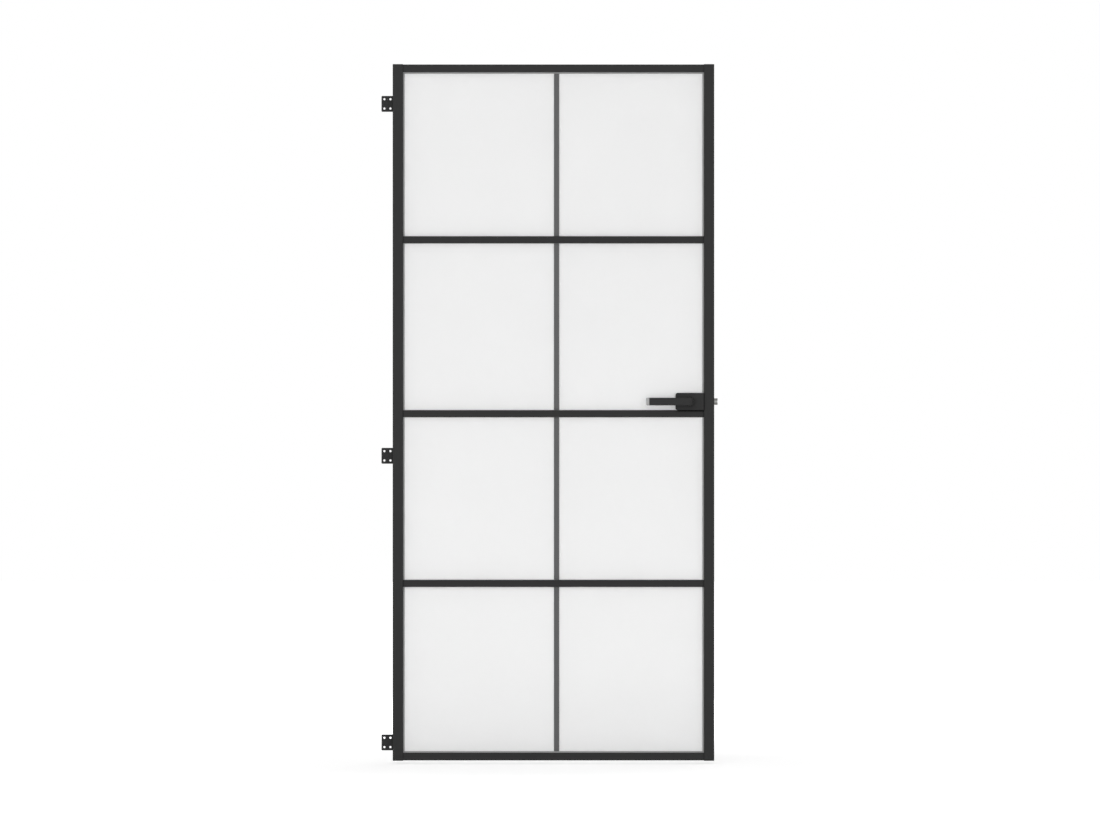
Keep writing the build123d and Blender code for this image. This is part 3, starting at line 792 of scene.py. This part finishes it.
@dataclass
class CrossScrews(ScrewSet):
    """Countersunk screws with a cross recess.

    Args:
        shank_radius: radius of the shank, in metres.
        rim: height of the head's straight rim, in metres.
        rim_radii: radii down the rim, as shares of the head's radius.
        rim_depths: depths down the rim, as shares of the rim's height.
        top_span: first and last ring of the top, as shares of the head's radius.
        top_rings: rings across the top.
        recess_share: reach of the cross recess, as a share of the head's radius.
        recess_depth: depth of the recess in its middle, as a share of the head's radius.
        recess_taper: share of that depth that is lost at the arms' ends.
        arm_share: half width of the cross's arms, as a share of the head's radius.
        arm_slope: width of the slope along the arms, as a share of the head's radius.
        end_slope: width of the slope at the arms' ends, as a share of the head's radius.
    """

    shank_radius: float = 0.0019
    rim: float = 0.0004
    rim_radii: tuple[float, ...] = (0.995, 1.0, 1.0)
    rim_depths: tuple[float, ...] = (0.02, 0.12, 1.0)
    top_span: tuple[float, float] = (0.04, 0.97)
    top_rings: int = 24
    recess_share: float = 0.58
    recess_depth: float = 0.32
    recess_taper: float = 0.55
    arm_share: float = 0.13
    arm_slope: float = 0.025
    end_slope: float = 0.03

    def profile(self) -> tuple[np.ndarray, np.ndarray]:
        """Works out top, rim, cone and shank.

        Across the top the depth is a smooth step of the distance to the nearer arm of a cross, so the
        recess sinks between the arms' edges.

        Returns:
            Radius and depth under the head's top.
        """
        angle = self.angles()
        share = np.linspace(*self.top_span, self.top_rings)[:, None]
        across = np.minimum(np.abs(np.cos(angle)), np.abs(np.sin(angle))) * share
        arm = 0.5 - 0.5 * np.tanh((across - self.arm_share) / self.arm_slope)
        reach = 0.5 - 0.5 * np.tanh((share - self.recess_share) / self.end_slope)
        taper = 1.0 - self.recess_taper * share / self.recess_share
        recess = self.recess_depth * self.head_radius * arm * reach * taper
        cone_end = self.rim + self.head_radius - self.shank_radius
        radius = np.concatenate(
            [
                share[:, 0] * self.head_radius,
                self.head_radius * np.array(self.rim_radii),
                [self.shank_radius] * 2,
            ]
        )
        lower = np.concatenate([self.rim * np.array(self.rim_depths), [cone_end, self.length]])
        depth = np.concatenate(
            [np.maximum(recess, 0.0), np.repeat(lower[:, None], self.sides, axis=1)]
        )
        return radius[:, None], depth


@dataclass
class SocketScrews(ScrewSet):
    """Headless screws with a hexagon socket.

    Args:
        socket_flat: half the width of the socket across its flats, in metres.
        socket_depth: depth of the socket, in metres.
        floor_share: reach of the cone's tip in the socket's floor, as a share of the socket.
        floor_depth: depth of the cone's tip, as a share of the socket's depth.
        edge: width of the bevel round the socket's end, in metres.
        side_share: drawn radius, as a share of the plain screw's.
    """

    socket_flat: float = 0.00125
    socket_depth: float = 0.0022
    floor_share: float = 0.1
    floor_depth: float = 1.15
    edge: float = 0.0003
    side_share: float = 0.94

    def profile(self) -> tuple[np.ndarray, np.ndarray]:
        """Works out socket, end face, bevel and side.

        The socket's radius is its half width over the cosine of the angle from the nearest flat's middle.

        Returns:
            Radius and depth under the socket's end.
        """
        sixth = math.tau / 6
        hexagon = self.socket_flat / np.cos(self.angles() % sixth - sixth / 2)
        outer = self.side_share * self.head_radius
        circle = np.ones((1, self.sides))
        radius = np.concatenate(
            [self.floor_share * hexagon, hexagon, hexagon]
            + [size * circle for size in (outer - self.edge, outer, outer)]
        )
        floor = self.socket_depth
        depth = np.array([self.floor_depth * floor, floor, 0.0, 0.0, self.edge, self.length])
        return radius, depth[:, None]


@dataclass
class LeafFrame:
    """Stiles, rails, end caps and the screws that join them.

    Args:
        coat: finish of the stiles and of the top and bottom rail.
        deep_shade_cross_coat: finish of the cross rails, a copy of the frame coat with deeper painted
            shade in corners.
        plastic: finish of the end caps.
        steel: finish of the screws.
        edge_rounding: rounding of profiles and caps.
        outline: nodes of the stiles and of the top and bottom rail.
        cross_rails: nodes of the cross rails.
        caps: nodes of the end caps.
    """

    # Frame coat: painted shade in corners, reaching 9 mm.
    coat: CoatFinish = CoatFinish(
        "frame_coat", (0.028, 0.028, 0.028), 0.55, specular=0.15, painted_shade_reach=0.009
    )
    # Deeper painted shade, for a dark line on the cross rail under the lock box.
    deep_shade_cross_coat: CoatFinish = CoatFinish(
        "cross_rail_deep_shade_coat", (0.027, 0.027, 0.027), 0.55, specular=0.15, painted_shade_reach=0.008, painted_shade_full=0.78
    )
    plastic: CoatFinish = CoatFinish(
        "cap_plastic", (0.029, 0.029, 0.029), 0.58, specular=0.15, grain_size=0.0012, grain_depth=0.00002
    )
    steel: MetalFinish = MetalFinish("screw_steel", (0.55, 0.55, 0.54), 0.34)
    edge_rounding: Rounding = Rounding(0.0004)
    outline: tuple[str, ...] = ("left_stile", "right_stile", "top_rail", "bottom_rail")
    cross_rails: tuple[str, ...] = ("cross_rail_1", "cross_rail_2", "cross_rail_3")
    caps: tuple[str, ...] = ("top_left_cap", "top_right_cap", "bottom_left_cap", "bottom_right_cap")

    def build(self) -> None:
        """Dresses profiles, caps and screws."""
        dress(self.coat.material(), *self.outline)
        dress(self.deep_shade_cross_coat.material(), *self.cross_rails)
        dress(self.plastic.material(), *self.caps)
        dress(self.steel.material(), "frame_screws")
        self.edge_rounding.apply(*self.outline, *self.cross_rails, *self.caps)
        LOG.info("leaf frame: %d cross rails, %d caps", len(self.cross_rails), len(self.caps))


@dataclass
class Glazing:
    """Frosted panes with their gaskets and upright bars.

    Args:
        frost: finish of the panes.
        rubber: finish of the gaskets.
        bar_coat: finish of the bars.
        bar_rounding: rounding of the bars.
        lip_rounding: rounding of the gaskets' lips.
        rows: numbers of the rows of glass.
    """

    frost: FrostFinish = FrostFinish("frosted_glass", (0.975, 0.975, 0.975), 0.4, 0.57)
    rubber: CoatFinish = CoatFinish(
        "gasket_rubber", (0.38, 0.38, 0.38), 0.7, specular=0.2, grain_size=0.0008, grain_depth=0.00002
    )
    bar_coat: CoatFinish = CoatFinish("bar_coat", (0.117, 0.117, 0.118), 0.48, specular=0.2)
    bar_rounding: Rounding = Rounding(0.0003)
    lip_rounding: Rounding = Rounding(0.0006)
    rows: tuple[int, ...] = (1, 2, 3, 4)

    def build(self) -> None:
        """Dresses panes, gaskets and bars."""
        bars = [f"{side}_bar_{row}" for side in ("front", "rear") for row in self.rows]
        gaskets = [f"gasket_row_{row}" for row in self.rows]
        dress(self.frost.material(), *[f"glass_row_{row}" for row in self.rows])
        dress(self.rubber.material(), *gaskets)
        dress(self.bar_coat.material(), *bars)
        self.bar_rounding.apply(*bars)
        self.lip_rounding.apply(*gaskets)
        LOG.info("glazing: %d rows, %d bars", len(self.rows), len(bars))


@dataclass
class HingeSet:
    """Three hinges on the left edge.

    Args:
        paint: finish of plates and pins.
        nylon: finish of the washers.
        screw: finish of the plate screws.
        edge_rounding: rounding of the plates.
    """

    # Hinge paint: painted shade in corners, and lighter edges for wear and a painted highlight.
    paint: CoatFinish = CoatFinish(
        "hinge_paint", (0.028, 0.028, 0.028), 0.5, specular=0.15, wear_and_highlight_reach=0.0008, painted_shade_reach=0.004
    )
    nylon: CoatFinish = CoatFinish("washer_nylon", (0.05, 0.05, 0.05), 0.5)
    screw: MetalFinish = MetalFinish("black_screw", (0.06, 0.06, 0.062), 0.4)
    edge_rounding: Rounding = Rounding(0.0003)

    def build(self) -> None:
        """Dresses plates, pins and washers and sets the plate screws."""
        names = ("top", "middle", "bottom")
        plates = [f"{name}_{kind}" for name in names for kind in ("wall_plate", "door_plate")]
        dress(self.paint.material(), *plates, *[f"{name}_hinge_pin" for name in names])
        dress(self.nylon.material(), "hinge_washers")
        self.edge_rounding.apply(*plates)
        screws = CrossScrews("hinge_plate_screws", "hinge_screws", Facing.BACK)
        screws.build(self.screw.material(), Body.LEAF)
        LOG.info("hinges: %d plates, %d screws", len(plates), len(screws.places))


@dataclass
class LatchSpring:
    """Round-wire coil between the lock case and the latch.

    Args:
        wire_radius: radius of the wire, in metres.
        end_gap: room left at each end of the coil, in metres.
        turns: turns of the coil.
        end_share: how far the pitch closes up at the ends, from 0 for not at all to 1 for shut.
        steps_per_turn: steps along one turn.
        sides: steps round the wire.
    """

    wire_radius: float = 0.0005
    end_gap: float = 0.0003
    turns: float = 6.5
    end_share: float = 0.7
    steps_per_turn: int = 40
    sides: int = 10

    def rings(self, low: Vector, high: Vector) -> np.ndarray:
        """Works out the wire: a circle carried along a helix whose pitch closes up at both ends.

        The run along X is the turn share minus a sine of it, so the end turns lie together.

        Args:
            low: lowest corner of the space it fills.
            high: highest corner.

        Returns:
            Points as (ring, angle, 3).
        """
        count = round(self.turns * self.steps_per_turn)
        share = np.linspace(0.0, 1.0, count + 1)
        coil = min(high.y - low.y, high.z - low.z) / 2 - self.wire_radius
        turn = math.tau * self.turns * share
        eased = share - self.end_share * np.sin(math.tau * share) / math.tau
        margin = self.wire_radius + self.end_gap
        run = low.x + margin + eased * (high.x - low.x - 2 * margin)
        middle = (low + high) / 2
        centre = np.stack(
            [run, middle.y + coil * np.cos(turn), middle.z + coil * np.sin(turn)], axis=-1
        )
        along = np.gradient(centre, axis=0)
        along /= np.linalg.norm(along, axis=1, keepdims=True)
        outward = np.stack([np.zeros_like(turn), np.cos(turn), np.sin(turn)], axis=-1)
        outward -= along * (along * outward).sum(axis=1, keepdims=True)
        outward /= np.linalg.norm(outward, axis=1, keepdims=True)
        across = np.cross(along, outward)
        angle = np.linspace(0.0, math.tau, self.sides, endpoint=False)[None, :, None]
        return centre[:, None] + self.wire_radius * (
            np.cos(angle) * outward[:, None] + np.sin(angle) * across[:, None]
        )

    def build(self, material: bpy.types.Material) -> bpy.types.Object:
        """Makes the coil, on a mesh of its own; the real coil shortens as the latch goes back.

        Args:
            material: the wire's finish.

        Returns:
            The piece.
        """
        low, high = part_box("latch_spring")
        points, faces = closed_rings(self.rings(low, high))
        piece = mesh_piece("latch_coil", points, faces, material, Body.LEAF)
        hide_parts("latch_spring")
        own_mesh(piece)
        return piece


@dataclass
class LockSet:
    """Lock box with its case, levers and latch.

    Args:
        paint: finish of covers and levers.
        zinc: finish of the case, its lid and the follower.
        steel: finish of spindle and spring.
        latch: finish of the latch.
        tip: finish of the levers' end caps.
        nylon: finish of the latch's insert.
        bush: finish of the levers' bushes.
        rubber: finish of the pads on the glass.
        screw: finish of cover screws and grub screws.
        cover_shank: radius of the cover screws' shank, in metres.
        edge_rounding: rounding of covers, levers and their end caps.
        latch_rounding: rounding of latch and insert.
    """

    # Lock paint: a painted highlight with wear along the edges, and painted shade in corners.
    paint: CoatFinish = CoatFinish(
        "lock_paint", (0.027, 0.027, 0.027), 0.48, specular=0.15, wear_and_highlight_reach=0.002, painted_shade_reach=0.005
    )
    zinc: MetalFinish = MetalFinish("case_zinc", (0.45, 0.45, 0.44), 0.42)
    steel: MetalFinish = MetalFinish("bright_steel", (0.58, 0.58, 0.57), 0.3)
    latch: MetalFinish = MetalFinish(
        "latch_steel", (0.2, 0.198, 0.19), 0.36, density=(2500.0, 2500.0, 60.0)
    )
    tip: MetalFinish = MetalFinish(
        "tip_nickel", (0.385, 0.385, 0.382), 0.36, density=(2500.0, 2500.0, 60.0)
    )
    nylon: CoatFinish = CoatFinish("latch_nylon", (0.54, 0.54, 0.525), 0.5)
    bush: CoatFinish = CoatFinish("bush_nylon", (0.03, 0.03, 0.03), 0.5)
    rubber: CoatFinish = CoatFinish("pad_rubber", (0.03, 0.03, 0.03), 0.75, specular=0.2)
    screw: MetalFinish = MetalFinish("cover_screw", (0.06, 0.06, 0.062), 0.4)
    cover_shank: float = 0.0013
    edge_rounding: Rounding = Rounding(0.0006)
    latch_rounding: Rounding = Rounding(0.0003)

    def build(self) -> None:
        """Dresses the lock's pieces, sets its screws and winds the spring."""
        covers = ("front_cover", "rear_cover")
        levers = ("front_lever", "rear_lever")
        tips = ("front_lever_tip", "rear_lever_tip")
        steel = self.steel.material()
        dress(self.paint.material(), *covers, *levers)
        dress(self.tip.material(), *tips)
        dress(self.zinc.material(), "lock_case", "lock_case_lid", "follower")
        dress(steel, "spindle")
        dress(self.latch.material(), "latch_bolt")
        dress(self.nylon.material(), "latch_insert")
        dress(self.bush.material(), "front_bush", "rear_bush")
        dress(self.rubber.material(), "lock_pads")
        self.edge_rounding.apply(*covers, *levers, *tips)
        self.latch_rounding.apply("latch_bolt", "latch_insert")
        screw = self.screw.material()
        screws = CrossScrews(
            "cover_plate_screws", "cover_screws", Facing.BACK, shank_radius=self.cover_shank
        )
        screws.build(screw, Body.LEAF)
        grubs = SocketScrews("lever_grub_screws", "grub_screws", Facing.DOWN)
        grubs.build(screw, Body.LEVER)
        LatchSpring().build(steel)
        LOG.info("lock: %d cover screws, %d grub screws", len(screws.places), len(grubs.places))


@dataclass(frozen=True)
class SoftLight:
    """A square soft light that lights the object without being seen itself.

    Args:
        name: the light's name.
        place: where it hangs.
        size: its width, in metres.
        power: its power, in watts.
    """

    name: str
    place: Point
    size: float
    power: float

    def hang(self, target: Point) -> None:
        """Hangs the light.

        Args:
            target: the point that it looks at.
        """
        data = bpy.data.lights.new(self.name, "AREA")
        data.size = self.size
        data.energy = self.power
        light = bpy.data.objects.new(self.name, data)
        light.location = self.place
        sight = Vector(target) - Vector(self.place)
        light.rotation_euler = sight.to_track_quat("-Z", "Y").to_euler()
        light.visible_camera = False
        light.visible_glossy = False
        light.visible_transmission = False
        bpy.context.scene.collection.objects.link(light)


@dataclass
class Studio:
    """Camera, soft lights, white surroundings and a pale floor.

    Args:
        camera_place: where the camera stands.
        view_width: width of the picture at the leaf, in metres.
        view_distance: distance at which the picture has that width, in metres.
        view_end: distance at which the camera's sight ends, in metres.
        sensor_width: width of the camera's sensor, in millimetres.
        white: colour of surroundings and glow, linear.
        ambient: strength of the light that the surroundings give.
        floor_height: height of the floor, in metres.
        floor_half: half the floor's width, in metres.
        floor_colour: the floor's colour, linear.
        floor_shade: tone of the floor's darker patches, as a share of its colour.
        floor_patches: patches of tone to the metre.
        floor_detail: steps of finer noise in the patches.
        floor_glow: the floor's glow near the door and far from it.
        floor_glow_reach: distances between which the glow rises, in metres.
        light_target: the point that the lights look at.
        lights: the soft lights, in front and behind.
    """

    camera_place: Point = (0.0015, -28.017, 1.0088)
    view_width: float = 3.1812
    view_distance: float = 28.0
    view_end: float = 200.0
    sensor_width: float = 36.0
    white: Colour = (1.0, 1.0, 1.0)
    ambient: float = 0.45
    floor_height: float = -0.008
    floor_half: float = 30.0
    floor_colour: Colour = (0.75, 0.75, 0.75)
    floor_shade: float = 0.96
    floor_patches: float = 3.0
    floor_detail: float = 4.0
    floor_glow: tuple[float, float] = (0.5, 0.9)
    floor_glow_reach: tuple[float, float] = (0.6, 3.0)
    light_target: Point = (0.0, 0.0, 1.0)
    lights: tuple[SoftLight, ...] = (
        SoftLight("key_light", (-1.7, -5.5, 1.9), 4.0, 145.0),
        SoftLight("fill_light", (2.6, -5.0, 0.5), 3.5, 55.0),
        SoftLight("rear_key_light", (1.7, 5.5, 2.1), 4.0, 130.0),
        SoftLight("rear_fill_light", (-2.6, 5.0, 0.8), 3.5, 45.0),
    )

    def build(self) -> None:
        """Builds camera, world, lights and floor."""
        self._camera()
        self._world()
        for light in self.lights:
            light.hang(self.light_target)
        self._floor()
        LOG.info("studio: %d lights", len(self.lights))

    def _camera(self) -> None:
        """Sets a level camera in front of the leaf, as wide as the picture needs."""
        data = bpy.data.cameras.new("front_camera")
        data.sensor_width = self.sensor_width
        data.lens = self.sensor_width * self.view_distance / self.view_width
        data.clip_end = self.view_end
        camera = bpy.data.objects.new("front_camera", data)
        camera.location = self.camera_place
        camera.rotation_euler = (math.radians(90), 0.0, 0.0)
        bpy.context.scene.collection.objects.link(camera)
        bpy.context.scene.camera = camera

    @staticmethod
    def _seen(graph: Graph) -> bpy.types.NodeSocket:
        """Tells rays that show the surroundings from rays that only light the object.

        Args:
            graph: the graph of the world or the floor.

        Returns:
            1 for rays from the camera, from gloss or through glass, else 0.
        """
        path = graph.add("ShaderNodeLightPath").outputs
        mirrored = graph.math("MAXIMUM", path["Is Glossy Ray"], path["Is Transmission Ray"])
        return graph.math("MAXIMUM", path["Is Camera Ray"], mirrored)

    def _world(self) -> None:
        """Makes white surroundings that light the object at the ambient level."""
        world = bpy.data.worlds.new("white_room")
        world.use_nodes = True
        world.node_tree.nodes.clear()
        graph = Graph(world.node_tree)
        strength = graph.math("MULTIPLY_ADD", self._seen(graph), 1.0 - self.ambient, self.ambient)
        sky = graph.add("ShaderNodeBackground", {"Color": opaque(self.white), "Strength": strength})
        graph.add("ShaderNodeOutputWorld", {"Surface": sky.outputs[0]})
        bpy.context.scene.world = world

    def _floor_material(self) -> bpy.types.Material:
        """Makes a matt floor that shows white where no shadow falls.

        Its glow rises with the distance from the door, where the lights fade.

        Returns:
            The material.
        """
        material, graph = new_material("pale_floor")
        place = graph.add("ShaderNodeTexCoord").outputs["Object"]
        patches = graph.noise(place, self.floor_patches, self.floor_detail)
        darker = opaque(self.floor_colour, self.floor_shade)
        colour = graph.mix(patches, darker, opaque(self.floor_colour))
        matt = graph.add("ShaderNodeBsdfDiffuse", {"Color": colour})
        distance = graph.add("ShaderNodeVectorMath", {0: place}, operation="LENGTH")
        limits = (distance.outputs["Value"], *self.floor_glow_reach, *self.floor_glow)
        rise = graph.add(
            "ShaderNodeMapRange", dict(enumerate(limits)), interpolation_type="SMOOTHSTEP"
        )
        glow = graph.math("MULTIPLY", self._seen(graph), rise.outputs[0])
        light = graph.add("ShaderNodeEmission", {"Color": opaque(self.white), "Strength": glow})
        both = graph.add("ShaderNodeAddShader", {0: matt.outputs[0], 1: light.outputs[0]})
        close_material(graph, both)
        return material

    def _floor(self) -> None:
        """Lays the floor, one square on the stage."""
        side = np.array([-1.0, 1.0]) * self.floor_half
        x, y = np.meshgrid(side, side)
        points = np.stack([x.ravel(), y.ravel(), np.full(4, self.floor_height)], axis=-1)
        mesh = bpy.data.meshes.new("pale_floor")
        mesh.from_pydata(points.tolist(), [], [(0, 1, 3, 2)])
        mesh.materials.append(self._floor_material())
        floor = bpy.data.objects.new("pale_floor", mesh)
        bpy.context.scene.collection.objects.link(floor)


def main() -> None:
    """Builds the studio and dresses the door, piece by piece."""
    logging.basicConfig(level=logging.INFO, format="%(name)s: %(message)s")
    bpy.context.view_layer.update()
    bpy.context.scene.view_settings.view_transform = "Standard"
    Studio().build()
    for assembly in (LeafFrame(), Glazing(), HingeSet(), LockSet()):
        assembly.build()
    LOG.info("sizes written")


if __name__ == "__main__":
    main()
